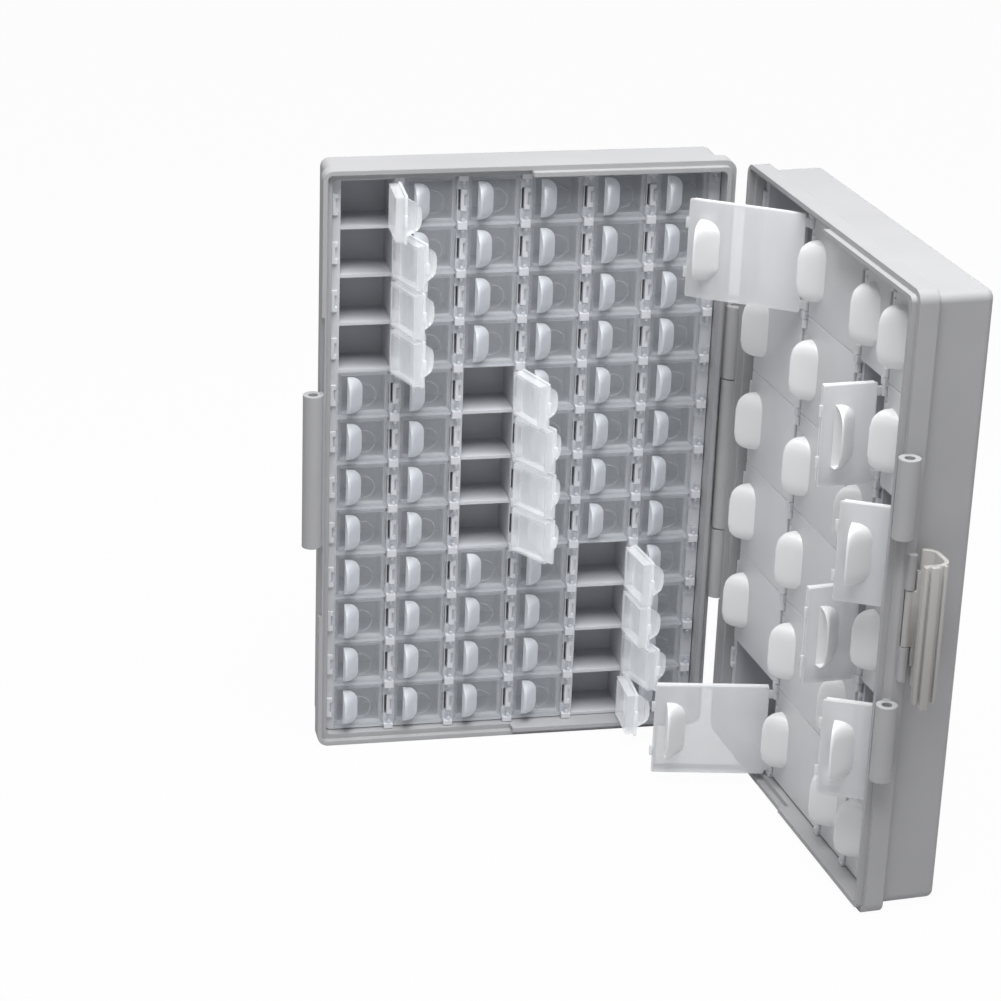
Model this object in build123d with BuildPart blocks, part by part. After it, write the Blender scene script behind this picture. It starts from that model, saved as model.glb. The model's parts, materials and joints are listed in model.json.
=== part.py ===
from build123d import *
import math
import os

os.makedirs("parts", exist_ok=True)

# Lengths are in millimetres. The box stands open like a book.
# X runs along the width of the small-lid half, Y into its depth and Z up.
# The origin is the middle of the small-lid half's bottom flange face.

# case halves, both the same moulding
case_width = 163.0
case_height = 245.0
half_depth = 29.5
flange_depth = 7.7
flange_corner = 4.5
side_step = 2.8
end_step = 2.2
body_corner = 3.5
back_round = 2.4
edge_round = 0.5
side_wall = 1.6
back_wall = 2.0
lip_thickness = 1.9
tongue_gap = 0.25
tongue_thickness = 1.9
tongue_height = 2.2
tongue_end_gap = 0.3
inner_corner = 2.0
ledge_thickness = 1.6
ledge_reach = 1.6
ledge_corner = 0.5

# hinge tubes on both long edges
tube_radius = 4.0
tube_bore = 1.9
tube_offset = 3.2
middle_tube_length = 64.5
outer_tube_length = 30.25
tube_end_gap = 0.25
tube_clearance = 0.35
pin_clearance = 0.06
pin_recess = 0.5

# how far the halves stand open, 0 is shut and 180 is flat
open_angle = 95.4

# tray that fills each half
tray_clearance = 0.3
tray_front = 6.4
tray_plate = 1.6
tray_corner = 1.8
cell_floor = 1.0
cell_depth = 19.6
cell_wall = 1.3
row_wall = 1.3
first_line = 5.63
cell_start = 2.2
cell_end = 2.5
row_height = 19.6
row_count = 12
column_width = 25.14
small_columns = (1, 1, 1, 1, 1, 1)
large_columns = (2, 2, 1, 1)
rows_per_large = 2

# catch bars and hinge lugs that stand on the tray
bar_width = 2.3
bar_length = 8.6
bar_height = 1.2
bar_notch = 1.0
slot_width = 0.9
slot_depth = 2.6
lug_left = 2.4
lug_right = 1.35
lug_length = 3.0
lug_height = 2.6
stub_radius = 0.7
stub_length = 1.2

# lids
lid_thickness = 1.2
lid_lift = 0.3
lid_edge_gap = 0.5
lid_row_gap = 0.5
lid_corner = 0.8
rim_height = 1.5
rim_wall = 0.8
rim_clearance = 0.4
rim_hinge_clearance = 0.6
axis_back = 0.2
barrel_radius = 1.25
barrel_length = 3.5
barrel_gap = 0.25
stub_clearance = 0.1
nub_length = 4.2
nub_clearance = 0.35
window_gap = 2.8
tab_foot = 2.2
tab_wall = 1.0
tab_round = 2.4
small_tab_height = 6.0
small_tab_inset = 4.0
small_tab_length = 15.3
large_tab_height = 8.0
large_tab_inset = 5.6
large_tab_length = 23.6
tab_taper = 3.6

# how far the lids that stand open are turned
small_open_angles = {1: (88, 110, 108, 109), 3: (109, 119, 121, 122), 5: (98, 97, 110, 89)}
large_open_angles = {(1, 1): 52, (1, 6): 75, (3, 2): 88, (3, 4): 91, (4, 3): 57, (4, 5): 60}

# latch on the free edge of the large-lid half
latch_axis_out = 1.0
latch_axis_in = 5.8
latch_length = 53.6
latch_wall = 1.8
latch_clearance = 0.45
latch_hook_gap = 0.5
latch_tip_reach = 1.6
latch_root_length = 37.4
latch_round = 3.0
latch_barrel_radius = 1.5
latch_boss_radius = 1.7
latch_boss_length = 13.5
latch_boss_inner = 22.6
latch_stub_radius = 0.85
latch_stub_length = 3.0
latch_fit = 0.1
latch_play = 0.3
latch_open_angle = 90
rib_proud = 0.9
rib_width = 1.3
middle_rib_proud = 1.6
middle_rib_width = 3.2
middle_rib_overhang = 2.0
middle_rib_from_tip = 3.8
outer_rib_from_tip = 7.9

# derived places
rim_y = -flange_depth / 2
mid_z = case_height / 2
hinge_x = case_width / 2 + tube_offset
inner_inset = lip_thickness + tongue_gap + tongue_thickness
tongue_inset = lip_thickness + tongue_gap
ledge_depth = tray_front + tray_plate
tray_bottom = tray_front + cell_depth + cell_floor
rows_height = row_count * row_height
large_rows = row_count // rows_per_large
large_row_height = row_height * rows_per_large
lid_back = tray_front - lid_lift
lid_front = lid_back - lid_thickness
axis_depth = lid_back - barrel_radius
pin_radius = tube_bore - pin_clearance


def face_plane(depth):
    """The plane of the half's open face, moved in by a depth."""
    return Plane(origin=(0, rim_y + depth, mid_z), x_dir=(1, 0, 0), z_dir=(0, -1, 0))


def line_x(columns, column):
    """Place across the half of the line of lugs and bars that starts a column."""
    return -case_width / 2 + first_line + sum(columns[:column]) * column_width


def row_z(row, height):
    """Height above the middle of a wall between two rows, where 0 is the top."""
    return rows_height / 2 - row * height


# where the large-lid half stands, turned about the hinge pin
to_tube = Location((case_width / 2 + tube_offset, -rim_y, 0))
small_half = Location((0, 0, 0))
large_half = Location((hinge_x, rim_y, 0), (0, 0, open_angle - 180)) * to_tube

# one case half, with its rim towards -Y
middle_tube_start = mid_z - middle_tube_length / 2
outer_tube_start = mid_z + middle_tube_length / 2 + 2 * tube_end_gap
zone_half = outer_tube_start + outer_tube_length - mid_z + 3 * tube_end_gap
with BuildPart() as case_half:
    with BuildSketch(face_plane(0)):
        RectangleRounded(case_width, case_height, flange_corner)
    extrude(amount=-flange_depth)
    fillet(case_half.faces().sort_by(Axis.Y)[-1].edges(), edge_round)
    with BuildSketch(face_plane(flange_depth / 2)):
        RectangleRounded(case_width - 2 * side_step, case_height - 2 * end_step, body_corner)
    extrude(amount=flange_depth / 2 - half_depth)
    fillet(case_half.faces().sort_by(Axis.Y)[-1].edges(), back_round)
    # room for the tray, with a ledge down each long side
    with BuildSketch(face_plane(0)):
        RectangleRounded(case_width - 2 * inner_inset, case_height - 2 * inner_inset, inner_corner)
    extrude(amount=-ledge_depth, mode=Mode.SUBTRACT)
    ledge_inset = side_step + side_wall + ledge_reach
    with BuildSketch(face_plane(ledge_depth)):
        RectangleRounded(case_width - 2 * ledge_inset, case_height - 2 * inner_inset, ledge_corner)
    extrude(amount=-ledge_thickness, mode=Mode.SUBTRACT)
    with BuildSketch(face_plane(ledge_depth + ledge_thickness)):
        room_width = case_width - 2 * (side_step + side_wall)
        RectangleRounded(room_width, case_height - 2 * inner_inset, inner_corner)
    extrude(amount=ledge_depth + ledge_thickness + back_wall - half_depth, mode=Mode.SUBTRACT)
    # lip on the tube side and tongue on the other, which close into each other
    with BuildSketch(face_plane(0)):
        RectangleRounded(case_width - 2 * lip_thickness, case_height - 2 * lip_thickness, inner_corner)
        with Locations((case_width / 2, 0)):
            Rectangle(case_width, case_height, mode=Mode.SUBTRACT)
    extrude(amount=-tongue_height - tongue_end_gap, mode=Mode.SUBTRACT)
    with BuildSketch(face_plane(0)):
        RectangleRounded(
            case_width - 2 * tongue_inset, case_height - 2 * tongue_inset, inner_corner + tongue_gap
        )
        RectangleRounded(
            case_width - 2 * inner_inset, case_height - 2 * inner_inset, inner_corner, mode=Mode.SUBTRACT
        )
        with Locations((tongue_end_gap - case_width / 2, 0)):
            Rectangle(case_width, case_height, mode=Mode.SUBTRACT)
    extrude(amount=tongue_height)
    # hinge tubes: one long one on the left edge and two short ones on the right
    with BuildSketch(Plane.XY.offset(middle_tube_start)):
        with Locations((-hinge_x, rim_y)):
            Circle(tube_radius)
    extrude(amount=middle_tube_length)
    for start in (outer_tube_start, case_height - outer_tube_start - outer_tube_length):
        with BuildSketch(Plane.XY.offset(start)):
            with Locations((hinge_x, rim_y)):
                Circle(tube_radius)
        extrude(amount=outer_tube_length)
    # hollows that the other half's tubes turn in
    with BuildSketch(Plane.XY.offset(middle_tube_start - tube_end_gap)):
        with Locations((hinge_x, rim_y)):
            Circle(tube_radius + tube_clearance)
    extrude(amount=middle_tube_length + 2 * tube_end_gap, mode=Mode.SUBTRACT)
    for start in (outer_tube_start - tube_end_gap, mid_z - zone_half):
        with BuildSketch(Plane.XY.offset(start)):
            with Locations((-hinge_x, rim_y)):
                Circle(tube_radius + tube_clearance)
        extrude(amount=zone_half + mid_z - outer_tube_start + tube_end_gap, mode=Mode.SUBTRACT)
    # bores through the tubes
    with BuildSketch(Plane.XY.offset(mid_z - zone_half)):
        with Locations((-hinge_x, rim_y), (hinge_x, rim_y)):
            Circle(tube_bore)
    extrude(amount=2 * zone_half, mode=Mode.SUBTRACT)

with BuildPart() as small_half_case:
    with Locations(small_half):
        add(case_half.part)
small_half_case.part.label = "small_half_case"
export_step(small_half_case.part, "parts/small_half_case.step")

# the other half, with two bosses and a pocket for the latch
latch_x = case_width / 2 + latch_axis_out
latch_y = rim_y + latch_axis_in
boss_start = mid_z + latch_boss_inner / 2
with BuildPart() as latch_half:
    add(case_half.part)
    for start in (boss_start, case_height - boss_start - latch_boss_length):
        with BuildSketch(Plane.XY.offset(start)):
            with Locations((latch_x, latch_y)):
                Circle(latch_boss_radius)
            with Locations(((latch_x + case_width / 2) / 2 - edge_round, latch_y)):
                Rectangle(latch_axis_out + 2 * edge_round, 2 * latch_boss_radius)
        extrude(amount=latch_boss_length)
    with BuildSketch(Plane.XY.offset(boss_start - latch_boss_inner)):
        with Locations((latch_x, latch_y)):
            Circle(latch_barrel_radius + latch_play)
            with Locations((0, latch_barrel_radius)):
                Rectangle(2 * (latch_barrel_radius + latch_play), 2 * latch_barrel_radius)
    extrude(amount=latch_boss_inner, mode=Mode.SUBTRACT)
    with BuildSketch(Plane.XY.offset(boss_start - latch_boss_inner - latch_stub_length - latch_play)):
        with Locations((latch_x, latch_y)):
            Circle(latch_stub_radius + latch_fit)
    extrude(amount=latch_boss_inner + 2 * (latch_stub_length + latch_play), mode=Mode.SUBTRACT)

with BuildPart() as large_half_case:
    with Locations(large_half):
        add(latch_half.part)
large_half_case.part.label = "large_half_case"
export_step(large_half_case.part, "parts/large_half_case.step")

with BuildPart() as hinge_pin:
    with BuildSketch(Plane.XY.offset(case_height - outer_tube_start - outer_tube_length + pin_recess)):
        with Locations((hinge_x, rim_y)):
            Circle(pin_radius)
    extrude(amount=2 * (outer_tube_start + outer_tube_length - mid_z - pin_recess))
    fillet(hinge_pin.edges(), edge_round)
hinge_pin.part.label = "hinge_pin"
export_step(hinge_pin.part, "parts/hinge_pin.step")


def cell_tray(columns, rows, height, bar_steps):
    """A tray with a plate, hanging cells, catch bars and hinge lugs."""
    block_height = rows_height - row_wall + 2 * cell_wall
    tray_inset = inner_inset + tray_clearance
    middles = [(row_z(row, height) + row_z(row + 1, height)) / 2 for row in range(rows)]
    bar_places = [
        (line_x(columns, column), middle + step)
        for column in range(len(columns))
        for middle in middles
        for step in bar_steps
    ]
    lug_lines = [line_x(columns, column + 1) for column in range(len(columns))]
    with BuildPart() as body:
        with BuildSketch(face_plane(tray_front)):
            RectangleRounded(case_width - 2 * tray_inset, case_height - 2 * tray_inset, tray_corner)
        extrude(amount=-tray_plate)
        with BuildSketch(face_plane(ledge_depth)):
            for column in range(len(columns)):
                left = line_x(columns, column) + cell_start - cell_wall
                right = line_x(columns, column + 1) - cell_end + cell_wall
                with Locations(((left + right) / 2, 0)):
                    Rectangle(right - left, block_height)
        extrude(amount=ledge_depth - tray_bottom)
        with BuildSketch(face_plane(tray_front)):
            for column in range(len(columns)):
                left = line_x(columns, column) + cell_start
                right = line_x(columns, column + 1) - cell_end
                with Locations(*[((left + right) / 2, middle) for middle in middles]):
                    Rectangle(right - left, height - row_wall)
        extrude(amount=-cell_depth, mode=Mode.SUBTRACT, clean=False)
        with BuildSketch(face_plane(tray_front)):
            slot_step = (bar_width + slot_width) / 2
            inner_bars = bar_places[rows * len(bar_steps):]
            with Locations(*[(x - slot_step, z) for x, z in inner_bars]):
                Rectangle(slot_width, bar_length)
        extrude(amount=-slot_depth, mode=Mode.SUBTRACT, clean=False)
    with BuildPart() as fittings:
        with BuildSketch(face_plane(tray_front)):
            with Locations(*bar_places):
                Rectangle(bar_width, bar_length)
            with Locations(*[(x + (bar_width - bar_notch) / 2, z) for x, z in bar_places]):
                Rectangle(bar_notch, nub_length + 2 * nub_clearance, mode=Mode.SUBTRACT)
        extrude(amount=bar_height, clean=False)
        # lugs at the row walls, each with a stub to either side for the lids to turn on
        plate_top = case_height / 2 - tray_inset
        lug_middles = []
        stub_middles = []
        for row in range(rows + 1):
            top = min(row_z(row, height) + lug_length / 2, plate_top)
            bottom = max(row_z(row, height) - lug_length / 2, -plate_top)
            lug_middles.append(((top + bottom) / 2, top - bottom))
            stub_top = min(top + stub_length, plate_top)
            stub_bottom = max(bottom - stub_length, -plate_top)
            stub_middles.append(((stub_top + stub_bottom) / 2, stub_top - stub_bottom))
        with BuildSketch(face_plane(tray_front)):
            for middle, length in lug_middles:
                with Locations(*[(x + (lug_right - lug_left) / 2, middle) for x in lug_lines]):
                    Rectangle(lug_left + lug_right, length)
        extrude(amount=lug_height, clean=False)
        for middle, length in stub_middles:
            with Locations(*[(x - axis_back, rim_y + axis_depth, mid_z + middle) for x in lug_lines]):
                Cylinder(stub_radius, length)
    with BuildPart() as tray:
        add(body.part)
        add(fittings.part, clean=False)
    return tray.part


def hinged_lid(width, height, tab_height, tab_inset, tab_length, nub_steps):
    """A shut lid, with its hinge axis on Z and its free edge towards -X."""
    front_y = lid_front - axis_depth
    back_y = lid_back - axis_depth
    reach = width - axis_back - bar_width / 2 - lid_edge_gap
    nub_reach = width - axis_back - bar_width / 2 + bar_notch - nub_clearance
    rim_left = width - axis_back - cell_start - rim_clearance
    rim_right = cell_end - axis_back + rim_hinge_clearance
    arm_end = height / 2 - lug_length / 2 - barrel_gap
    tab_x = tab_inset - reach
    with BuildPart() as lid:
        with BuildSketch(Plane.XZ.offset(-front_y)):
            with Locations((-(reach + window_gap) / 2, 0)):
                RectangleRounded(reach - window_gap, height - lid_row_gap, lid_corner)
            with Locations(*[(-(nub_reach + window_gap) / 2, step) for step in nub_steps]):
                Rectangle(nub_reach - window_gap, nub_length)
            with Locations(*[(-window_gap, side * (arm_end - barrel_length / 2)) for side in (1, -1)]):
                Rectangle(2 * window_gap, barrel_length)
        extrude(amount=-lid_thickness)
        with BuildSketch(Plane.XZ.offset(-back_y)):
            with Locations((-(rim_left + rim_right) / 2, 0)):
                rim_width = rim_left - rim_right
                rim_span = height - row_wall - 2 * rim_clearance
                Rectangle(rim_width, rim_span)
                Rectangle(rim_width - 2 * rim_wall, rim_span - 2 * rim_wall, mode=Mode.SUBTRACT)
        extrude(amount=-rim_height)
        with Locations(*[(0, 0, side * (arm_end - barrel_length / 2)) for side in (1, -1)]):
            Cylinder(barrel_radius, barrel_length)
        bore = stub_length - barrel_gap + 3 * stub_clearance
        with Locations(*[(0, 0, side * (arm_end - bore / 2)) for side in (1, -1)]):
            Cylinder(stub_radius + stub_clearance, bore, mode=Mode.SUBTRACT)
    with BuildPart() as tab:
        # thumb tab, straight towards the free edge and swept down towards the hinge
        tip_y = front_y - tab_height
        foot_y = front_y + lid_thickness / 2
        with BuildSketch(Plane.XY.offset(-tab_length / 2)):
            with BuildLine():
                foot = (tab_x + tab_wall + tab_foot, front_y)
                waist = (tab_x + tab_wall, front_y - tab_foot)
                RadiusArc(foot, waist, -tab_foot)
                tip = ((tab_x + tab_wall, tip_y), (tab_x, tip_y))
                Polyline(waist, *tip, (tab_x, foot_y), (foot[0], foot_y), foot)
            make_face()
        extrude(amount=tab_length)
        with BuildSketch(Plane.YZ.offset(tab_x)):
            with BuildLine():
                half = tab_length / 2
                corners = [(foot_y, -half), (front_y - 1, -half), (tip_y, tab_taper - half)]
                corners += [(y, -z) for y, z in reversed(corners)]
                Polyline(*corners, close=True)
            outline = make_face()
            fillet(outline.vertices().group_by(Axis.X)[0], tab_round)
        extrude(amount=tab_wall + tab_foot, mode=Mode.INTERSECT)
    with BuildPart() as whole:
        add(lid.part)
        add(tab.part)
    return whole.part


def lid_location(columns, column, row, height, turn):
    """Where a lid sits on a half that faces -Y, turned open by an angle."""
    middle = mid_z + (row_z(row, height) + row_z(row + 1, height)) / 2
    axis = (line_x(columns, column + 1) - axis_back, rim_y + axis_depth, middle)
    return Location(axis, (0, 0, turn))


# trays
large_bar_steps = (large_row_height / 4, -large_row_height / 4)
with BuildPart() as small_cell_tray:
    with Locations(small_half):
        add(cell_tray(small_columns, row_count, row_height, (0,)))
small_cell_tray.part.label = "small_cell_tray"
export_step(small_cell_tray.part, "parts/small_cell_tray.step")

with BuildPart() as large_cell_tray:
    with Locations(large_half):
        add(cell_tray(large_columns, large_rows, large_row_height, large_bar_steps))
large_cell_tray.part.label = "large_cell_tray"
export_step(large_cell_tray.part, "parts/large_cell_tray.step")

# lids of the small-lid half, shut ones in groups of four
small_lid = hinged_lid(column_width, row_height, small_tab_height, small_tab_inset, small_tab_length, (0,))
band_rows = 4
for column in range(len(small_columns)):
    for first_row in range(0, row_count, band_rows):
        rows = range(first_row, first_row + band_rows)
        if column == 2 * (first_row // band_rows):
            for row, turn in zip(rows, small_open_angles[column + 1]):
                with BuildPart() as one_lid:
                    with Locations(lid_location(small_columns, column, row, row_height, turn)):
                        add(small_lid)
                one_lid.part.label = f"small_lid_c{column + 1}_r{row + 1}"
                export_step(one_lid.part, f"parts/{one_lid.part.label}.step")
        else:
            with BuildPart() as four_lids:
                with Locations(*[lid_location(small_columns, column, row, row_height, 0) for row in rows]):
                    add(small_lid)
            four_lids.part.label = f"small_lids_c{column + 1}_r{first_row + 1}_to_r{first_row + band_rows}"
            export_step(four_lids.part, f"parts/{four_lids.part.label}.step")

# lids of the large-lid half
large_lids = {
    share: hinged_lid(
        share * column_width, large_row_height,
        large_tab_height, large_tab_inset, large_tab_length, large_bar_steps,
    )
    for share in set(large_columns)
}
for column in range(len(large_columns)):
    for row in range(large_rows):
        turn = large_open_angles.get((column + 1, row + 1), 0)
        with BuildPart() as one_lid:
            with Locations(large_half * lid_location(large_columns, column, row, large_row_height, turn)):
                add(large_lids[large_columns[column]])
        one_lid.part.label = f"large_lid_c{column + 1}_r{row + 1}"
        export_step(one_lid.part, f"parts/{one_lid.part.label}.step")

# latch, drawn shut round the other half's middle tube, with its hinge axis on Z
arm_y = tube_radius + latch_clearance - latch_axis_in
spine_x = tube_offset + tube_radius + latch_clearance - latch_axis_out
hook_y = -flange_depth - latch_hook_gap - latch_axis_in
tip_x = -latch_axis_out - latch_tip_reach
root_x = latch_boss_radius + latch_play
outer_x = spine_x + latch_wall
outer_y = arm_y + latch_wall
outer_hook = hook_y - latch_wall
hook_outline = (
    (root_x, outer_y), (outer_x, outer_y), (outer_x, outer_hook), (tip_x, outer_hook),
    (tip_x, hook_y), (spine_x, hook_y), (spine_x, arm_y), (root_x, arm_y),
)
with BuildPart() as latch_body:
    with BuildSketch(Plane.XY.offset(-latch_length / 2)) as profile:
        with BuildLine():
            Polyline(*hook_outline, close=True)
        make_face()
        outer_corners = [corner for corner in profile.vertices() if abs(corner.X - outer_x) < 0.01]
        fillet(outer_corners, latch_round)
        inner_corners = [corner for corner in profile.vertices() if abs(corner.X - spine_x) < 0.01]
        fillet(inner_corners, latch_round - latch_wall)
    extrude(amount=latch_length)
    # grip ribs down the outer face of the hook, the middle one longer at the bottom
    for rib_x, width, proud, overhang in (
        (tip_x + rib_width / 2, rib_width, rib_proud, 0),
        (tip_x + middle_rib_from_tip, middle_rib_width, middle_rib_proud, middle_rib_overhang),
        (tip_x + outer_rib_from_tip, rib_width, rib_proud, 0),
    ):
        with BuildSketch(Plane.XZ.offset(-outer_hook - latch_wall / 2)):
            with Locations((rib_x, -overhang / 2)):
                Rectangle(width, latch_length + overhang)
        extrude(amount=proud + latch_wall / 2)
    # the root is shorter than the hook and ends between the bosses in a barrel
    for side in (1, -1):
        cut = (latch_length - latch_root_length) / 2
        with Locations((root_x, arm_y + latch_wall / 2, side * (latch_root_length + cut) / 2)):
            Box(latch_wall, 2 * latch_wall, cut, mode=Mode.SUBTRACT)
    barrel_half = latch_boss_inner / 2 - latch_play
    with BuildSketch(Plane.XY.offset(-barrel_half)):
        Circle(latch_barrel_radius)
        with Locations((root_x / 2, arm_y + latch_wall / 2)):
            Rectangle(root_x, latch_wall)
    extrude(amount=2 * barrel_half)
    Cylinder(latch_stub_radius, latch_boss_inner + 2 * latch_stub_length)
with BuildPart() as latch:
    with Locations(large_half * Location((latch_x, latch_y, mid_z), (0, 0, latch_open_angle))):
        add(latch_body.part)
latch.part.label = "latch"
export_step(latch.part, "parts/latch.step")
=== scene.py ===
import json
import math

import bpy
from mathutils import Matrix, Vector

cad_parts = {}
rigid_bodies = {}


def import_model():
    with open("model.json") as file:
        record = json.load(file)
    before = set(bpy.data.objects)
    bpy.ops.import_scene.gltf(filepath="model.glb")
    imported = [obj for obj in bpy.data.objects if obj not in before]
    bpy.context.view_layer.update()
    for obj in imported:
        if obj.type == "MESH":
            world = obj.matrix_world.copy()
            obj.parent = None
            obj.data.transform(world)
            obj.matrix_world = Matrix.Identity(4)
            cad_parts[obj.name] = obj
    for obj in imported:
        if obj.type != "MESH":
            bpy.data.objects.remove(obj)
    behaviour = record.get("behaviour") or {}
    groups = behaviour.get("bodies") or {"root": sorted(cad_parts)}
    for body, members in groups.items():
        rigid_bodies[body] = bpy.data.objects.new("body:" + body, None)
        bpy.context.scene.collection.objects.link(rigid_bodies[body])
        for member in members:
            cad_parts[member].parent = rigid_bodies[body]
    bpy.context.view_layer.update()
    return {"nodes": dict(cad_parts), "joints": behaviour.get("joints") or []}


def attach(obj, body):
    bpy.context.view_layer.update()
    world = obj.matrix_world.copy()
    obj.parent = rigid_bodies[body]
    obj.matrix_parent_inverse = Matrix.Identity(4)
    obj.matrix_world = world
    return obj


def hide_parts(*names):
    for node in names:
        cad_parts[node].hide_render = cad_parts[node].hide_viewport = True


# clear what a new file holds, then bring in the box as it was built
for thing in list(bpy.data.objects):
    bpy.data.objects.remove(thing)
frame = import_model()
nodes = frame["nodes"]
jointOf = {joint["child"]: joint for joint in frame["joints"]}
spine = jointOf["large_half"]
spineTurn = -spine["range_deg"][1]  # the large half at rest, from lying flat beside the small one
mm = 0.001
white = (1.0, 1.0, 1.0, 1.0)
print("box brought in,", len(nodes), "nodes")


class Shade:
    # a socket that can be used in sums

    def __init__(self, bench, socket):
        self.bench = bench
        self.socket = socket

    def math(self, operation, *others):
        sockets = {0: self, **dict(enumerate(others, 1))}
        return self.bench.node("ShaderNodeMath", {"operation": operation}, sockets)

    def __add__(self, other):
        return self.math("ADD", other)

    def __sub__(self, other):
        return self.math("SUBTRACT", other)

    def __rsub__(self, other):
        return self.bench.node("ShaderNodeMath", {"operation": "SUBTRACT"}, {0: other, 1: self})

    def __mul__(self, other):
        return self.math("MULTIPLY", other)

    __radd__ = __add__
    __rmul__ = __mul__


class Bench:
    # where the nodes of one material, or of the world, are made

    def __init__(self, owner):
        self.owner = owner
        owner.use_nodes = True
        self.tree = owner.node_tree
        self.tree.nodes.clear()

    def node(self, kind, settings=None, sockets=None, out=0):
        made = self.tree.nodes.new(kind)
        for key, value in (settings or {}).items():
            if key == "stops":
                ramp = made.color_ramp.elements
                while len(ramp) < len(value):
                    ramp.new(1.0)
                for element, (place, colour) in zip(ramp, value):
                    element.position = place
                    element.color = colour
            else:
                setattr(made, key, value)
        for key, value in (sockets or {}).items():
            if isinstance(value, Shade):
                self.tree.links.new(value.socket, made.inputs[key])
            else:
                made.inputs[key].default_value = value
        return Shade(self, made.outputs[out])

    def finish(self, surface, result="ShaderNodeOutputMaterial"):
        end = self.tree.nodes.new(result)
        self.tree.links.new(surface.socket, end.inputs["Surface"])
        return self.owner


# what all the moulded plastics share
moulding = {
    "flowPerMetre": 35.0, "flowDetail": 2.0, "flowFrom": 0.3, "flowTo": 0.7, "grainDetail": 3.0,
    "grainRoughness": 0.06, "grainStrength": 0.6, "bevelSamples": 4, "ior": 1.48,
}
# the plastics: colour, sheen, how fine and deep the grain is, how clear,
# and how strong the painted glow is that stands in for light through them
greyPlastic = {
    "colour": (0.590, 0.597, 0.630), "shift": 0.03, "roughness": 0.46, "roughnessShift": 0.10,
    "grainPerMetre": 1800, "grainDepth": 0.00002, "edge": 0.00025, "alpha": 1.0, "alphaShift": 0.0,
}
lidPlastic = {
    "shift": 0.02, "roughness": 0.34, "roughnessShift": 0.10, "grainPerMetre": 900, "grainDepth": 0.000004,
    "edge": 0.0,
}
plasticLooks = {
    "casePlastic": {
        **greyPlastic, "colour": (0.410, 0.411, 0.422), "roughness": 0.52, "grainDepth": 0.00003,
        "edge": 0.0005,
    },
    "smallTrayPlastic": {**greyPlastic, "paintedDepthTurn": 0.0},
    "largeTrayPlastic": {**greyPlastic, "paintedDepthTurn": spineTurn},
    "latchPlastic": {
        **greyPlastic, "colour": (0.455, 0.447, 0.433), "shift": 0.02, "roughness": 0.45,
        "roughnessShift": 0.08, "grainPerMetre": 1500, "edge": 0.0004,
    },
    "smallLidPlastic": {
        **lidPlastic, "colour": (0.770, 0.810, 0.860), "shift": 0.03, "roughness": 0.30,
        "alpha": 0.165, "alphaShift": 0.04,
    },
    "smallRimPlastic": {
        **lidPlastic, "colour": (0.820, 0.835, 0.860), "shift": 0.03, "roughness": 0.30,
        "alpha": 0.45, "alphaShift": 0.05, "glow": 0.05,
    },
    "smallTabPlastic": {
        **lidPlastic, "colour": (0.600, 0.625, 0.660), "roughness": 0.36, "roughnessShift": 0.08,
        "alpha": 0.76, "alphaShift": 0.04, "glow": 0.17,
    },
    # lit copies for lids that stand open: milkier, with painted glow for the light behind them
    "litRaisedLidPlastic": {
        **lidPlastic, "colour": (0.780, 0.800, 0.820), "alpha": 0.48, "alphaShift": 0.06, "glow": 0.27,
    },
    "litRaisedRimPlastic": {
        **lidPlastic, "colour": (0.760, 0.775, 0.790), "alpha": 0.36, "alphaShift": 0.04, "glow": 0.15,
    },
    "litRaisedTabPlastic": {
        **lidPlastic, "colour": (0.780, 0.795, 0.810), "roughnessShift": 0.08,
        "alpha": 0.60, "alphaShift": 0.04, "glow": 0.18,
    },
    # large lids: lighter and milkier than small ones, painted for light from behind at a grazing view
    "largeLidPlastic": {**lidPlastic, "colour": (0.845, 0.852, 0.870), "alpha": 0.76, "alphaShift": 0.05},
    "litRaisedLargePlastic": {
        **lidPlastic, "colour": (0.800, 0.812, 0.832), "alpha": 0.60, "alphaShift": 0.05, "glow": 0.03,
    },
    "largeTabPlastic": {
        **lidPlastic, "colour": (0.880, 0.885, 0.892), "roughness": 0.32, "roughnessShift": 0.08,
        "alpha": 0.86, "alphaShift": 0.04, "glow": 0.03,
    },
}

# painted light and shade in the trays' colour, lighter at the fronts and darker deeper in:
# where it starts, in metres deeper than the spine's pin line, over what length,
# and the level at each share of that length
paintedDepthLight = {
    "from": 0.0024, "over": 0.012,
    "levels": ((0.30, 1.18), (0.345, 1.0), (0.47, 1.0), (0.66, 0.90)),
}


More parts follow.
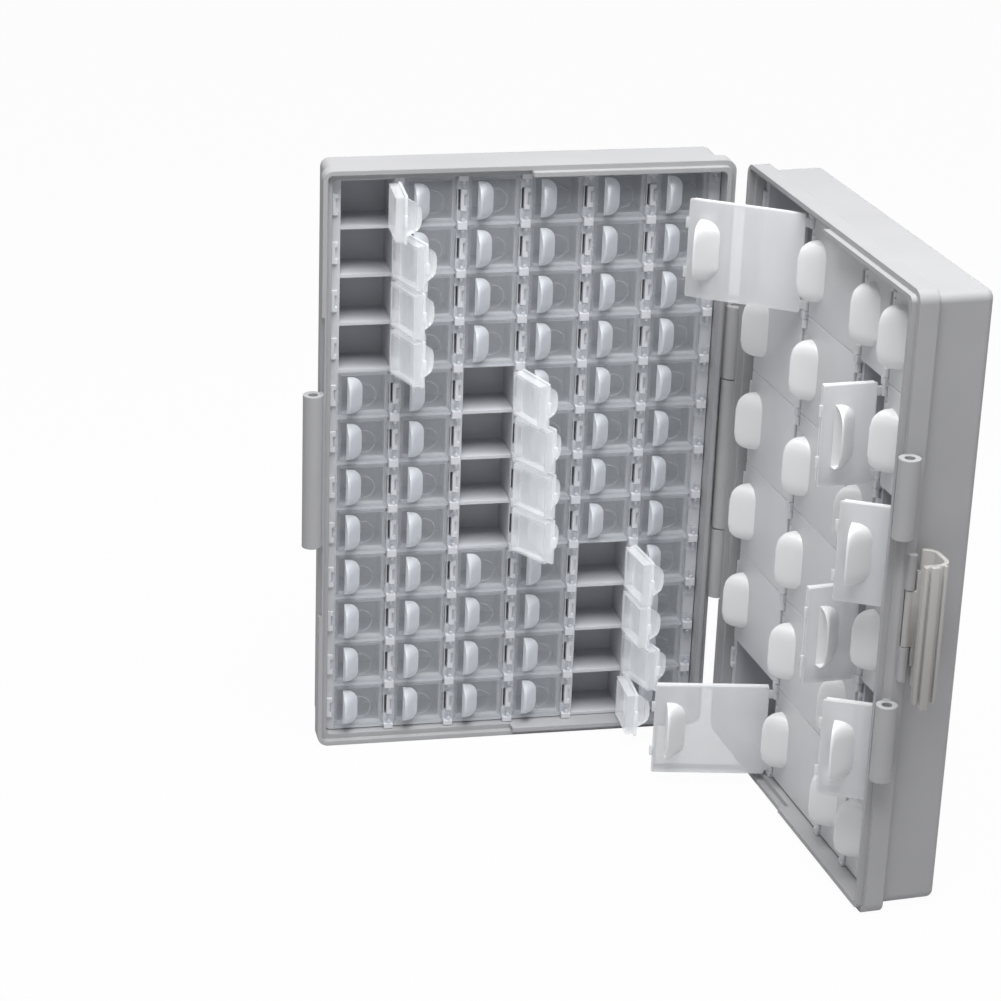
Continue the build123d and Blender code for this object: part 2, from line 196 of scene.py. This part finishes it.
def mouldedPlastic(name, look):
    bench = Bench(bpy.data.materials.new(name))
    place = bench.node("ShaderNodeTexCoord", out="Object")
    coarse = {"Vector": place, "Scale": moulding["flowPerMetre"], "Detail": moulding["flowDetail"]}
    flow = bench.node("ShaderNodeTexNoise", None, coarse, "Fac")
    fine = {"Vector": place, "Scale": look["grainPerMetre"], "Detail": moulding["grainDetail"]}
    grain = bench.node("ShaderNodeTexNoise", None, fine, "Fac")
    dark = tuple(c * (1 - look["shift"]) for c in look["colour"]) + (1.0,)
    light = tuple(min(c * (1 + look["shift"]), 1.0) for c in look["colour"]) + (1.0,)
    stops = ((moulding["flowFrom"], dark), (moulding["flowTo"], light))
    colour = bench.node("ShaderNodeValToRGB", {"stops": stops}, {"Fac": flow})
    # painted light at the tray fronts and painted shade deeper in: colour scaled by a level read off depth
    if "paintedDepthTurn" in look:
        inward = Matrix.Rotation(math.radians(look["paintedDepthTurn"]), 3, "Z") @ Vector((0, 1, 0))
        start = inward.dot(Vector(spine["pos_m"])) + paintedDepthLight["from"]
        dot = {"operation": "DOT_PRODUCT"}
        depth = bench.node("ShaderNodeVectorMath", dot, {0: place, 1: inward}, "Value") - start
        stops = [(at, (level, level, level, 1.0)) for at, level in paintedDepthLight["levels"]]
        paintedDepthLevel = bench.node("ShaderNodeValToRGB", {"stops": stops}, {"Fac": depth * (1 / paintedDepthLight["over"])})
        colour = bench.node("ShaderNodeVectorMath", {"operation": "MULTIPLY"}, {0: colour, 1: paintedDepthLevel})
    uneven = (flow - 0.5) * look["roughnessShift"] + (grain - 0.5) * moulding["grainRoughness"]
    sockets = {"Base Color": colour, "Roughness": look["roughness"] + uneven, "IOR": moulding["ior"]}
    bump = {"Height": grain, "Distance": look["grainDepth"], "Strength": moulding["grainStrength"]}
    if look["edge"]:
        samples = {"samples": moulding["bevelSamples"]}
        bump["Normal"] = bench.node("ShaderNodeBevel", samples, {"Radius": look["edge"]})
    sockets["Normal"] = bench.node("ShaderNodeBump", None, bump)
    if look["alpha"] < 1:
        sockets["Alpha"] = look["alpha"] + (flow - 0.5) * look["alphaShift"]
    # painted light: the plastic glows in its own colour, standing in for light shining through it
    if "glow" in look:
        sockets["Emission Color"] = colour
        sockets["Emission Strength"] = look["glow"]
    return bench.finish(bench.node("ShaderNodeBsdfPrincipled", None, sockets))


# the pin's steel, with scratches drawn out along it
steelLook = {
    "dark": (0.44, 0.44, 0.45, 1.0), "light": (0.56, 0.56, 0.57, 1.0), "from": 0.3, "to": 0.7,
    "roughness": 0.25, "roughnessShift": 0.2, "scratchPerMetre": (2500.0, 2500.0, 40.0), "detail": 2.0,
}


def drawnSteel(name, look):
    bench = Bench(bpy.data.materials.new(name))
    place = bench.node("ShaderNodeTexCoord", out="Object")
    along = bench.node("ShaderNodeMapping", None, {"Vector": place, "Scale": look["scratchPerMetre"]})
    noise = {"Vector": along, "Scale": 1.0, "Detail": look["detail"]}
    scratch = bench.node("ShaderNodeTexNoise", None, noise, "Fac")
    stops = ((look["from"], look["dark"]), (look["to"], look["light"]))
    colour = bench.node("ShaderNodeValToRGB", {"stops": stops}, {"Fac": scratch})
    roughness = look["roughness"] + scratch * look["roughnessShift"]
    sockets = {"Base Color": colour, "Metallic": 1.0, "Roughness": roughness}
    return bench.finish(bench.node("ShaderNodeBsdfPrincipled", None, sockets))


finishes = {name: mouldedPlastic(name, look) for name, look in plasticLooks.items()}
finishes["pinSteel"] = drawnSteel("pinSteel", steelLook)
finishOf = {
    "small_half_case": "casePlastic", "large_half_case": "casePlastic", "latch": "latchPlastic",
    "small_cell_tray": "smallTrayPlastic", "large_cell_tray": "largeTrayPlastic", "hinge_pin": "pinSteel",
}
for name, finish in finishOf.items():
    nodes[name].data.materials.clear()
    nodes[name].data.materials.append(finishes[finish])
print("finishes made")


# what the modelling of every piece shares: sizes in millimetres, angles in degrees
modelling = {
    "facing": 0.9,  # a face that faces along an axis has at least this much of its normal there
    "slight": 0.1,  # lengths under this count as nothing where edges and faces are picked
    "smoothAngle": 40, "turnedSides": 24, "edgeSteps": 2,
}


def deselect():
    bpy.ops.object.select_all(action="DESELECT")


def setMode(mode):
    bpy.ops.object.mode_set(mode=mode)


def bevel(size, steps=modelling["edgeSteps"]):
    # rounds the selected edges, or the edges of the selected faces
    bpy.ops.mesh.bevel(offset=size * mm, segments=steps, affect="EDGES")


def drawOut(x, y, z):
    # extrudes what is selected, by a move in millimetres
    bpy.ops.mesh.extrude_region_move(TRANSFORM_OT_translate={"value": (x * mm, y * mm, z * mm)})


def addBlock(low, high, rounding=0.0):
    # a block between two corners, in millimetres, with rounded edges
    deselect()
    middle = [(a + b) / 2 * mm for a, b in zip(low, high)]
    bpy.ops.mesh.primitive_cube_add(size=1, location=middle)
    block = bpy.context.object
    block.scale = [(b - a) * mm for a, b in zip(low, high)]
    bpy.ops.object.transform_apply(location=True, rotation=False, scale=True)
    if rounding:
        setMode("EDIT")
        bpy.ops.mesh.select_all(action="SELECT")
        bevel(rounding)
        setMode("OBJECT")
    return block


def addRod(radius, length, height=0.0):
    # an upright rod, in millimetres, with its middle at a height on Z
    deselect()
    bpy.ops.mesh.primitive_cylinder_add(
        vertices=modelling["turnedSides"], radius=radius * mm, depth=length * mm,
        location=(0, 0, height * mm),
    )
    bpy.ops.object.transform_apply(location=True)
    return bpy.context.object


def selectFaces(thing, wanted):
    # selects the faces that a test on middle and normal picks, in edit mode
    bpy.ops.mesh.select_all(action="DESELECT")
    setMode("OBJECT")
    for face in thing.data.polygons:
        face.select = wanted(face.center, face.normal)
    setMode("EDIT")
    bpy.ops.mesh.select_mode(type="FACE")


def selectEdges(thing, wanted):
    # selects the edges that a test on their two ends picks, in edit mode
    bpy.ops.mesh.select_mode(type="EDGE")
    bpy.ops.mesh.select_all(action="DESELECT")
    setMode("OBJECT")
    for edge in thing.data.edges:
        edge.select = wanted(*(thing.data.vertices[i].co for i in edge.vertices))
    setMode("EDIT")


def selectCorners(thing, wanted):
    # selects the corners that a test picks, in edit mode
    bpy.ops.mesh.select_mode(type="VERT")
    bpy.ops.mesh.select_all(action="DESELECT")
    setMode("OBJECT")
    for corner in thing.data.vertices:
        corner.select = wanted(corner)
    setMode("EDIT")


def join(things, name):
    deselect()
    for thing in things:
        thing.select_set(True)
    bpy.context.view_layer.objects.active = things[0]
    bpy.ops.object.join()
    joined = bpy.context.object
    joined.name = name
    return joined


# lids, drawn shut: hinge axis up Z at the origin, free edge towards -X, front towards -Y
lidShape = {
    # the plate, between the lines of the grid of cells
    "front": 0.05, "back": 1.25, "hingeGap": 2.8, "edgeFromLine": 1.65, "axisFromLine": 0.2,
    "rowGap": 0.3, "cornerRound": 0.8, "cornerSteps": 3, "edgeRound": 0.22,
    # how far the rim and the tab reach into the plate, and then the rim
    "lap": 0.05, "rimHeight": 3.4, "rimWall": 0.8, "rimFromLine": 2.6, "rimFromAxis": 2.9, "rimFromRow": 1.05,
    # arms, their round ends with the holes for the stubs, and the catch nubs
    "armEndFromRow": 1.75, "armLap": 0.4, "armRound": 0.15, "barrelLength": 3.5, "barrelRadius": 1.25,
    "barrelSteps": 1, "stubRadius": 0.8, "stubDepth": 1.2, "nubReach": 1.15, "nubLength": 4.2,
    "nubLap": 0.6, "nubRound": 0.2,
    # the tab's walls, its shares of the height as it is drawn out, and how deep its hollow goes
    "tabWall": 1.0, "tabRoot": 0.3, "tabEdge": 0.3, "tabSlope": 1.25, "tabTurnSteps": 5,
    "tabSteps": (0.12, 0.26, 0.4, 0.54, 0.68, 0.8, 0.9, 1.0), "tabLevelReach": 0.06,
    "tabHollowWall": 0.8, "tabHollowShare": 0.75,
    # the mould's mark
    "markTube": 0.16, "markProud": 0.02, "markSides": 32, "markTubeSides": 6,
}
smallLid = {
    "width": 25.14, "height": 19.6, "nubs": (0.0,), "markRadius": 4.6,
    "tabHeight": 5.9, "tabInset": 3.9, "tabLength": 15.3, "tabDepth": 6.1, "tabTurn": 4.6, "tabRound": 2.2,
    "tabTaper": 3.2,
    "finish": "smallLidPlastic", "rimFinish": "smallRimPlastic", "tabFinish": "smallTabPlastic",
}
wideLid = {
    "width": 50.28, "height": 39.2, "nubs": (9.8, -9.8), "markRadius": 0.0,
    "tabHeight": 8.0, "tabInset": 4.8, "tabLength": 23.6, "tabDepth": 8.0, "tabTurn": 6.0, "tabRound": 6.0,
    "tabTaper": 0.4,
    "finish": "largeLidPlastic", "rimFinish": "largeLidPlastic", "tabFinish": "largeTabPlastic",
}
narrowLid = {**wideLid, "width": smallLid["width"]}
# lids that stand open get lit copies of the lid plastics: milkier, with painted glow for the light behind
# them
litRaisedSmall = {"finish": "litRaisedLidPlastic", "rimFinish": "litRaisedRimPlastic", "tabFinish": "litRaisedTabPlastic"}
litRaisedLarge = {"finish": "litRaisedLargePlastic", "rimFinish": "largeTabPlastic"}
lidKinds = {
    "small": smallLid, "wide": wideLid, "narrow": narrowLid, "raised small": {**smallLid, **litRaisedSmall},
    "raised wide": {**wideLid, **litRaisedLarge}, "raised narrow": {**narrowLid, **litRaisedLarge},
}


def reachOf(s, kind):
    # from the hinge axis to the free edge
    return kind["width"] - s["axisFromLine"] - s["edgeFromLine"]


def lidPlate(s, kind):
    reach = reachOf(s, kind)
    halfHeight = (kind["height"] - s["rowGap"]) / 2
    plate = addBlock((-reach, s["front"], -halfHeight), (-s["hingeGap"], s["back"], halfHeight))
    # round the four corners, then every edge
    setMode("EDIT")
    selectEdges(plate, lambda a, b: abs(a.y - b.y) > (s["back"] - s["front"]) * mm / 2)
    bevel(s["cornerRound"], s["cornerSteps"])
    selectFaces(plate, lambda middle, normal: abs(normal.y) > modelling["facing"])
    bevel(s["edgeRound"])
    setMode("OBJECT")
    return plate


def lidRim(s, kind):
    left = s["axisFromLine"] + s["rimFromLine"] - kind["width"]
    half = kind["height"] / 2 - s["rimFromRow"]
    top = s["back"] + s["rimHeight"]
    rim = addBlock((left, s["back"] - s["lap"], -half), (-s["rimFromAxis"], top, half))
    setMode("EDIT")
    selectFaces(rim, lambda middle, normal: normal.y > modelling["facing"])
    bpy.ops.mesh.inset(thickness=s["rimWall"] * mm)
    drawOut(0, -s["rimHeight"], 0)
    # only the standing walls stay, so that the clear plate is not covered
    low = (s["back"] + s["rimHeight"] / 2) * mm
    selectFaces(rim, lambda middle, normal: abs(normal.y) > modelling["facing"] and middle.y < low)
    bpy.ops.mesh.delete(type="FACE")
    setMode("OBJECT")
    return rim


def lidBarrel(s, middle, length, side):
    # the arm's round end, with a hole for the tray's stub on its outer side
    barrel = addRod(s["barrelRadius"], length, middle)
    setMode("EDIT")
    selectFaces(barrel, lambda place, normal: abs(normal.z) > modelling["facing"])
    bevel(s["armRound"], s["barrelSteps"])
    selectFaces(barrel, lambda place, normal: abs(normal.z) > modelling["facing"])
    inset = s["barrelRadius"] - s["armRound"] - s["stubRadius"]
    bpy.ops.mesh.inset(thickness=inset * mm, use_individual=True)
    inside = s["stubRadius"] / 2 * mm
    facing = modelling["facing"]
    selectFaces(barrel, lambda place, normal: normal.z * side > facing and place.xy.length < inside)
    drawOut(0, 0, -side * s["stubDepth"])
    setMode("OBJECT")
    return barrel


def lidHinge(s, kind):
    made = []
    armEnd = kind["height"] / 2 - s["armEndFromRow"]
    armStart = armEnd - s["barrelLength"]
    for side in (1, -1):
        low, high = sorted((side * armStart, side * armEnd))
        start = (-s["hingeGap"] - s["armLap"], s["front"], low)
        made.append(addBlock(start, (0, s["back"], high), s["armRound"]))
        made.append(lidBarrel(s, (low + high) / 2, s["barrelLength"], side))
    edge = -reachOf(s, kind)
    for step in kind["nubs"]:
        low = (edge - s["nubReach"], s["front"], step - s["nubLength"] / 2)
        high = (edge + s["nubLap"], s["back"], step + s["nubLength"] / 2)
        made.append(addBlock(low, high, s["nubRound"]))
    return made


def lidTab(s, kind):
    # a hooded pull, open towards the free edge and sloping down into the lid towards the hinge
    x = kind["tabInset"] - reachOf(s, kind)
    half = kind["tabLength"] / 2
    broad = kind["tabDepth"]
    slight = modelling["slight"] * mm
    tab = addBlock((x, s["front"] - s["lap"], -half), (x + broad, s["front"] + s["tabRoot"], half))
    setMode("EDIT")
    far = (x + broad) * mm - slight
    selectEdges(tab, lambda a, b: min(a.x, b.x) > far and abs(a.y - b.y) > slight)
    bevel(kind["tabTurn"], s["tabTurnSteps"])
    selectFaces(tab, lambda middle, normal: normal.y < -modelling["facing"])
    # drawn out towards the front in steps, each smaller than the last
    rounding = kind["tabRound"] / kind["tabHeight"]
    before = (0.0, 1.0, 1.0)
    levels = []
    for step in s["tabSteps"]:
        late = max(step - 1 + rounding, 0) / rounding
        shrink = kind["tabTaper"] * step + kind["tabRound"] * (1 - math.sqrt(max(1 - late ** 2, 0)))
        thick = s["tabWall"] + (broad - s["tabWall"]) * (1 - step) ** s["tabSlope"]
        tipRound = s["tabEdge"] if step == 1 else 0.0
        after = (step, (thick - tipRound) / broad, (half - shrink - tipRound) / half)
        drawOut(0, (before[0] - after[0]) * kind["tabHeight"], 0)
        bpy.ops.transform.resize(
            value=(after[1] / before[1], 1, after[2] / before[2]), center_override=(x * mm, 0, 0)
        )
        before = after
        levels.append((s["front"] - step * kind["tabHeight"], thick))
    # hollowed from its open side
    front = s["front"] * mm - slight
    selectFaces(tab, lambda middle, normal: normal.x < -modelling["facing"] and middle.y < front)
    bpy.ops.mesh.inset(thickness=s["tabHollowWall"] * mm)
    setMode("OBJECT")
    inner = {i for face in tab.data.polygons if face.select for i in face.vertices}
    setMode("EDIT")
    reach = kind["tabHeight"] * s["tabLevelReach"] * mm
    for height, thick in levels:
        hollow = (thick - s["tabHollowWall"]) * s["tabHollowShare"]
        level = {corner.index for corner in tab.data.vertices if abs(corner.co.y - height * mm) < reach}
        selectCorners(tab, lambda corner: corner.index in inner & level)
        bpy.ops.transform.translate(value=(hollow * mm, 0, 0))
        inner -= level
    setMode("OBJECT")
    return tab


def lidMark(s, kind):
    # the faint round mark that the mould leaves in the middle of a small lid
    if not kind["markRadius"]:
        return []
    middle = (s["axisFromLine"] - kind["width"]) / 2
    deselect()
    bpy.ops.mesh.primitive_torus_add(
        location=(middle * mm, (s["front"] + s["markProud"]) * mm, 0), rotation=(math.pi / 2, 0, 0),
        major_segments=s["markSides"], minor_segments=s["markTubeSides"],
        major_radius=kind["markRadius"] * mm, minor_radius=s["markTube"] * mm,
    )
    bpy.ops.object.transform_apply(location=True, rotation=True)
    return [bpy.context.object]


def modelLid(name, s, kind):
    things = []
    for finish, made in (
        (kind["finish"], [lidPlate(s, kind)] + lidHinge(s, kind) + lidMark(s, kind)),
        (kind["rimFinish"], [lidRim(s, kind)]),
        (kind["tabFinish"], [lidTab(s, kind)]),
    ):
        for thing in made:
            thing.data.materials.append(finishes[finish])
        things += made
    lid = join(things, name)
    bpy.ops.object.shade_smooth_by_angle(angle=math.radians(modelling["smoothAngle"]))
    bpy.ops.object.transform_apply(location=True, rotation=True, scale=True)
    return lid


patterns = {name: modelLid(name + "LidPattern", lidShape, kind) for name, kind in lidKinds.items()}
print("lids modelled:", {name: len(lid.data.polygons) for name, lid in patterns.items()})


def settle(thing, joint, turn, lift=0.0):
    # puts a piece that was drawn shut at its joint, turned about it
    move = Matrix.Translation(joint["pos_m"]) @ Matrix.Translation((0, 0, lift))
    thing.data.transform(move @ Matrix.Rotation(math.radians(turn), 4, "Z"))


def placeLid(kind, joint, turn, name, lift=0.0):
    lid = patterns[kind].copy()
    lid.data = patterns[kind].data.copy()
    lid.name = name
    bpy.context.scene.collection.objects.link(lid)
    settle(lid, joint, turn, lift)
    return lid


# a copy of the right lid stands in for each lid that was built, and shut small lids go in fours
wideColumns = 2
groupRows = 4
shutTurn = 1  # a lid turned by less than this, in degrees, is shut
for child, joint in jointOf.items():
    if "_lid" not in child:
        continue
    name = child + "_shown"
    turn = -joint["range_deg"][0]
    if child.startswith("large"):
        column = int(child.split("_c")[1][0])
        kind = ("raised " if turn > shutTurn else "") + ("wide" if column <= wideColumns else "narrow")
        lid = placeLid(kind, joint, turn + spineTurn, name)
    elif "_to_" in child:
        lifts = [((groupRows - 1) / 2 - row) * smallLid["height"] * mm for row in range(groupRows)]
        lid = join([placeLid("small", joint, turn, name, lift) for lift in lifts], name)
    else:
        lid = placeLid("raised small", joint, turn, name)
    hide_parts(child)
    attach(lid, child)
for pattern in patterns.values():
    bpy.data.objects.remove(pattern)
print("lids placed")

# the latch, drawn shut: hinge axis up Z at the origin, arm towards +X, hook back round to the tip
latchShape = {
    "wall": 1.8, "length": 53.6, "arm": -1.35, "hook": -14.0, "spine": 6.65, "tip": -2.6, "turn": 3.6,
    "turnSteps": 9, "edgeRound": 0.35, "sharpAngle": 50,
    "rootStart": 2.0, "rootEnd": 2.9, "rootLength": 37.4, "rootLap": 0.2, "rootRound": 0.2,
    "barrelRadius": 1.5, "barrelLength": 22.0, "stubRadius": 0.85, "stubLength": 28.6, "ribRound": 0.3,
    # each rib's place, width, height and how far it runs on below
    "ribs": ((-1.95, 1.3, 0.9, 0.0), (1.2, 3.2, 1.6, 2.0), (5.3, 1.3, 0.9, 0.0)),
}


def latchStrip(s):
    # a strip led along the arm, round the spine and back along the hook
    half = s["length"] / 2
    turnX = s["spine"] - s["turn"]
    strip = addBlock((s["rootEnd"], s["arm"], -half), (turnX, s["arm"] + s["wall"], half))
    setMode("EDIT")
    selectFaces(strip, lambda middle, normal: normal.x > modelling["facing"])
    down = (0, s["hook"] - s["arm"] + 2 * s["turn"], 0)
    back = (s["tip"] - turnX, 0, 0)
    for turnY, onward in ((s["arm"] - s["turn"], down), (s["hook"] + s["turn"], back)):
        for step in range(s["turnSteps"]):
            bpy.ops.mesh.extrude_region_move()
            bpy.ops.transform.rotate(
                value=math.radians(90 / s["turnSteps"]), orient_axis="Z",
                center_override=(turnX * mm, turnY * mm, 0),
            )
        drawOut(*onward)
    bpy.ops.mesh.select_all(action="DESELECT")
    bpy.ops.mesh.select_mode(type="EDGE")
    bpy.ops.mesh.edges_select_sharp(sharpness=math.radians(s["sharpAngle"]))
    bevel(s["edgeRound"])
    setMode("OBJECT")
    return strip


def modelLatch(name, s):
    outside = s["arm"] + s["wall"]
    face = s["hook"] - s["wall"]
    half = s["length"] / 2
    parts = [latchStrip(s)]
    for start, end, length in (
        (s["rootStart"], s["rootEnd"], s["rootLength"]), (0, s["rootStart"], s["barrelLength"]),
    ):
        high = (end + s["rootLap"], outside, length / 2)
        parts.append(addBlock((start, s["arm"], -length / 2), high, s["rootRound"]))
    for x, width, proud, below in s["ribs"]:
        low = (x - width / 2, face - proud, -half - below)
        parts.append(addBlock(low, (x + width / 2, face + s["wall"] / 2, half), s["ribRound"]))
    parts.append(addRod(s["barrelRadius"], s["barrelLength"]))
    parts.append(addRod(s["stubRadius"], s["stubLength"]))
    latch = join(parts, name)
    latch.data.materials.append(finishes["latchPlastic"])
    bpy.ops.object.shade_smooth_by_angle(angle=math.radians(modelling["smoothAngle"]))
    return latch


latch = modelLatch("latch_shown", latchShape)
settle(latch, jointOf["latch"], spineTurn - jointOf["latch"]["range_deg"][0])
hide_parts("latch")
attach(latch, "latch")
print("latch modelled:", len(latch.data.polygons))

# pale floor, white surroundings
room = {
    "floorSize": 8.0, "floorDrop": 0.0002, "floorColour": (0.55, 0.55, 0.56, 1.0), "floorRoughness": 0.8,
    "floorGlow": 0.97, "daylight": 0.20,
}


def floorFinish():
    bench = Bench(bpy.data.materials.new("floorFinish"))
    seen = bench.node("ShaderNodeLightPath", out="Is Camera Ray")
    sockets = {"Base Color": room["floorColour"], "Roughness": room["floorRoughness"]}
    matt = bench.node("ShaderNodeBsdfPrincipled", None, sockets)
    glow = bench.node("ShaderNodeEmission", None, {"Color": white, "Strength": 1.0})
    mix = {0: seen * room["floorGlow"], 1: matt, 2: glow}
    return bench.finish(bench.node("ShaderNodeMixShader", None, mix))


def surroundings():
    # white to the camera and in metal and glass, and soft daylight on all else
    bench = Bench(bpy.data.worlds.new("surroundings"))
    rays = ("Camera", "Glossy", "Transmission")
    camera, glossy, clear = (bench.node("ShaderNodeLightPath", out=f"Is {ray} Ray") for ray in rays)
    seen = camera.math("MAXIMUM", glossy).math("MAXIMUM", clear)
    daylight, backdrop = (
        bench.node("ShaderNodeBackground", None, {"Color": white, "Strength": strength})
        for strength in (room["daylight"], 1.0)
    )
    mix = bench.node("ShaderNodeMixShader", None, {0: seen, 1: daylight, 2: backdrop})
    return bench.finish(mix, "ShaderNodeOutputWorld")


deselect()
bpy.ops.mesh.primitive_plane_add(size=room["floorSize"], location=(0, 0, -room["floorDrop"]))
floor = bpy.context.object
floor.name = "floor"
floor.data.materials.append(floorFinish())
bpy.context.scene.world = surroundings()

# lamps: place, what they face, size and power
lamps = {
    "overhead": {"place": (-0.02, -0.34, 1.05), "faces": (0.0, -0.12, 0.12), "size": 0.7, "power": 14.5},
    "front": {"place": (-0.55, -1.1, 0.95), "faces": (0.0, -0.05, 0.12), "size": 0.8, "power": 0.8},
}
for name, lamp in lamps.items():
    light = bpy.data.lights.new(name, "AREA")
    light.size = lamp["size"]
    light.energy = lamp["power"]
    holder = bpy.data.objects.new(name, light)
    bpy.context.scene.collection.objects.link(holder)
    holder.location = lamp["place"]
    facing = Vector(lamp["faces"]) - Vector(lamp["place"])
    holder.rotation_euler = facing.to_track_quat("-Z", "Y").to_euler()

# the camera stands where the photograph was taken from
photo = {
    "side": 1001, "focalPixels": 3052.9, "middleX": 398.1, "middleY": 572.6, "sensorWidth": 36.0,
    "place": (-0.25094, -1.11714, 0.57254), "yaw": -10.27, "pitch": 23.67, "roll": -1.25,
}
lens = bpy.data.cameras.new("photoCamera")
lens.sensor_width = photo["sensorWidth"]
lens.lens = photo["focalPixels"] * photo["sensorWidth"] / photo["side"]
lens.shift_x = (photo["side"] / 2 - photo["middleX"]) / photo["side"]
lens.shift_y = (photo["middleY"] - photo["side"] / 2) / photo["side"]
camera = bpy.data.objects.new("photoCamera", lens)
bpy.context.scene.collection.objects.link(camera)
aim = (
    Matrix.Rotation(math.radians(photo["yaw"]), 3, "Z")
    @ Matrix.Rotation(math.radians(-photo["pitch"]), 3, "X")
    @ Matrix.Rotation(math.radians(photo["roll"]), 3, "Y")
)
standUp = Matrix.Rotation(math.radians(90), 3, "X")
camera.matrix_world = Matrix.Translation(photo["place"]) @ (aim @ standUp).to_4x4()
bpy.context.scene.camera = camera
bpy.context.scene.view_settings.view_transform = "Standard"
print("lights and camera set")
